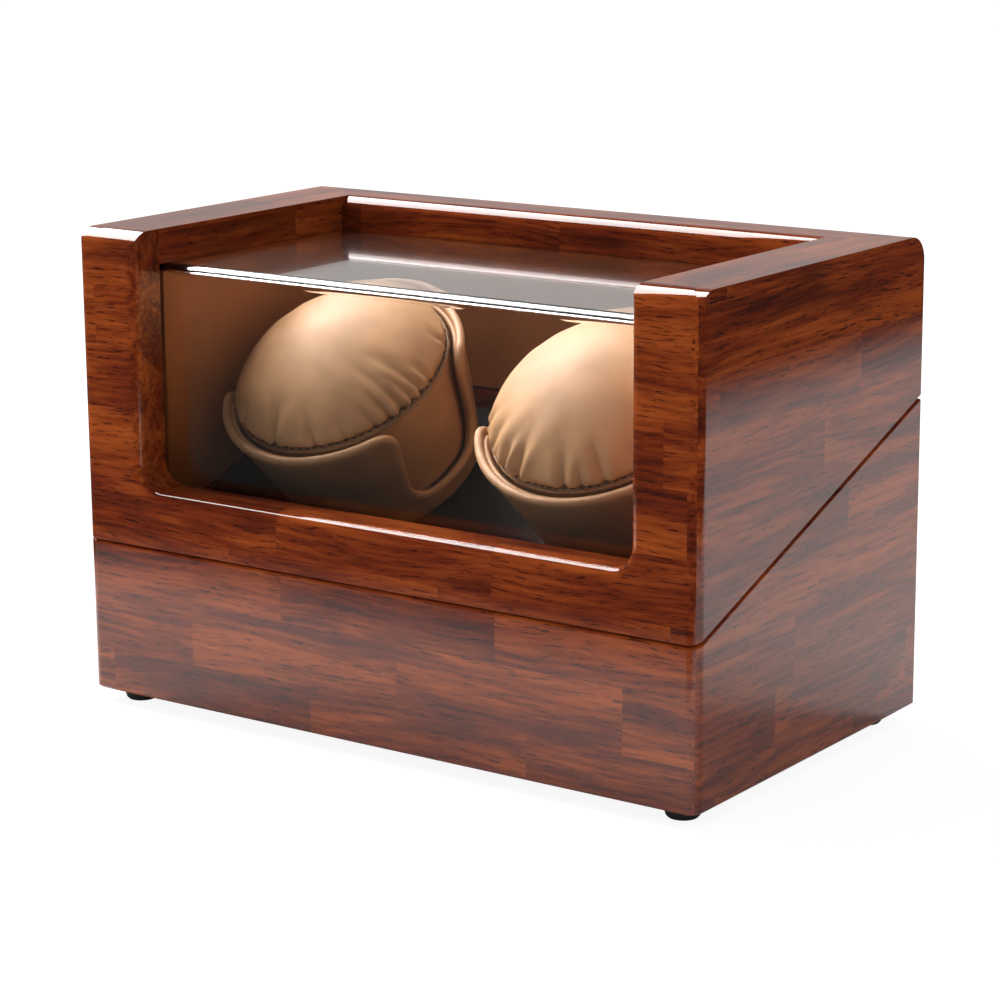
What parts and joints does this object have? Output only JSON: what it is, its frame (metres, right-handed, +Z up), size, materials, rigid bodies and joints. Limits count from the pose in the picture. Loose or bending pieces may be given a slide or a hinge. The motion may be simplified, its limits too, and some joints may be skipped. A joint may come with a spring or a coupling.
{
  "type": "watch winder box",
  "caption": "Wooden watch winder box with a slanted hinged lid, a bent clear window and tilted, motor-turned cups that hold stitched watch cushions.",
  "frame": {"origin": "under the middle of the box, on the surface that the feet stand on, with the rear knobs counted in its depth", "axes": "+X along the front to the right as seen from the front, +Y from the front to the back, +Z up"},
  "size_m": [0.25, 0.1552, 0.168],
  "materials": {
    "lacquered_wood": "high-gloss clear lacquer over reddish-brown striped veneer",
    "fibreboard": "raw fibreboard",
    "lining_leather": "smooth tan synthetic leather glued to board",
    "cup_leather": "smooth tan synthetic leather with rolled rims",
    "cushion_leather": "soft tan synthetic leather, gathered and stitched",
    "clear_acrylic": "polished clear acrylic",
    "black_rubber": "matt black rubber",
    "steel": "zinc-plated steel",
    "hinge_brass": "polished brass",
    "bush_brass": "turned brass",
    "black_plate": "satin black paint",
    "circuit_board": "green solder mask",
    "black_plastic": "satin black moulding",
    "motor_can": "drawn steel can",
    "gear_plastic": "natural acetal"
  },
  "bodies": {
    "case": {"base_front_wall": "lacquered_wood", "base_rear_wall": "lacquered_wood", "base_left_wall": "lacquered_wood", "base_right_wall": "lacquered_wood", "bottom_board": "fibreboard", "corner_blocks": "fibreboard", "platform_board": "fibreboard", "platform_cleats": "fibreboard", "platform_lining": "lining_leather", "base_linings": "lining_leather", "lid_bumpers": "black_rubber", "rubber_feet": "black_rubber", "foot_screws": "steel", "bottom_screws": "steel", "platform_screws": "steel", "plate_screws": "steel", "motor_screws": "steel", "panel_screws": "steel", "hinge_base_leaves": "hinge_brass", "hinge_pins": "hinge_brass", "hinge_base_screws": "hinge_brass", "plate_posts": "steel", "spindle_bushes": "bush_brass", "control_plate": "black_plate", "control_board": "circuit_board", "rotary_switches": "black_plastic", "dc_inlet": "black_plastic", "gear_plate_left": "steel", "gearbox_left": "bush_brass", "motor_left": "motor_can", "gear_plate_right": "steel", "gearbox_right": "bush_brass", "motor_right": "motor_can"},
    "lid": {"lid_front_frame": "lacquered_wood", "lid_rear_panel": "lacquered_wood", "lid_left_side": "lacquered_wood", "lid_right_side": "lacquered_wood", "lid_side_linings": "lining_leather", "lid_rear_lining": "lining_leather", "window_pane": "clear_acrylic", "hinge_lid_leaves": "hinge_brass", "hinge_lid_screws": "hinge_brass"},
    "cup_left": {"drive_gear_left": "gear_plastic", "cup_shell_left": "cup_leather", "cup_liner_left": "cup_leather", "cup_screws_left": "steel", "turntable_left": "black_plastic", "spindle_left": "steel"},
    "cup_right": {"drive_gear_right": "gear_plastic", "cup_shell_right": "cup_leather", "cup_liner_right": "cup_leather", "cup_screws_right": "steel", "turntable_right": "black_plastic", "spindle_right": "steel"},
    "cushion_left": {"cushion_left": "cushion_leather"},
    "cushion_right": {"cushion_right": "cushion_leather"},
    "pinion_left": {"pinion_left": "bush_brass"},
    "pinion_right": {"pinion_right": "bush_brass"},
    "mode_knob_left": {"mode_knob_left": "black_plastic"},
    "mode_knob_right": {"mode_knob_right": "black_plastic"}
  },
  "joints": [
    {"name": "lid_hinge", "type": "hinge", "parent": "case", "child": "lid", "pos_m": [0, 0.06735, 0.11461], "axis": [-1, 0, 0], "range_deg": [0, 95]},
    {"name": "cup_left_spin", "type": "hinge", "parent": "case", "child": "cup_left", "pos_m": [-0.0543, 0.00461, 0.07869], "axis": [0, -0.5592, 0.829], "continuous": true},
    {"name": "pinion_left_spin", "type": "hinge", "parent": "case", "child": "pinion_left", "pos_m": [-0.02659, -0.00027, 0.05731], "axis": [0, -0.5592, 0.829], "continuous": true},
    {"name": "cushion_left_pull", "type": "slide", "parent": "cup_left", "child": "cushion_left", "axis": [0, -0.5592, 0.829], "range_m": [0, 0.006]},
    {"name": "mode_knob_left_turn", "type": "hinge", "parent": "case", "child": "mode_knob_left", "pos_m": [-0.03, 0.06945, 0.039], "axis": [0, 1, 0], "range_deg": [-120, 120]},
    {"name": "cup_right_spin", "type": "hinge", "parent": "case", "child": "cup_right", "pos_m": [0.0543, 0.00461, 0.07869], "axis": [0, -0.5592, 0.829], "continuous": true},
    {"name": "pinion_right_spin", "type": "hinge", "parent": "case", "child": "pinion_right", "pos_m": [0.02659, -0.00027, 0.05731], "axis": [0, -0.5592, 0.829], "continuous": true},
    {"name": "cushion_right_pull", "type": "slide", "parent": "cup_right", "child": "cushion_right", "axis": [0, -0.5592, 0.829], "range_m": [0, 0.006]},
    {"name": "mode_knob_right_turn", "type": "hinge", "parent": "case", "child": "mode_knob_right", "pos_m": [0.03, 0.06945, 0.039], "axis": [0, 1, 0], "range_deg": [-120, 120]}
  ],
  "couplings": [
    {"joint": "pinion_left_spin", "follows": "cup_left_spin", "ratio": -3},
    {"joint": "pinion_right_spin", "follows": "cup_right_spin", "ratio": -3}
  ]
}
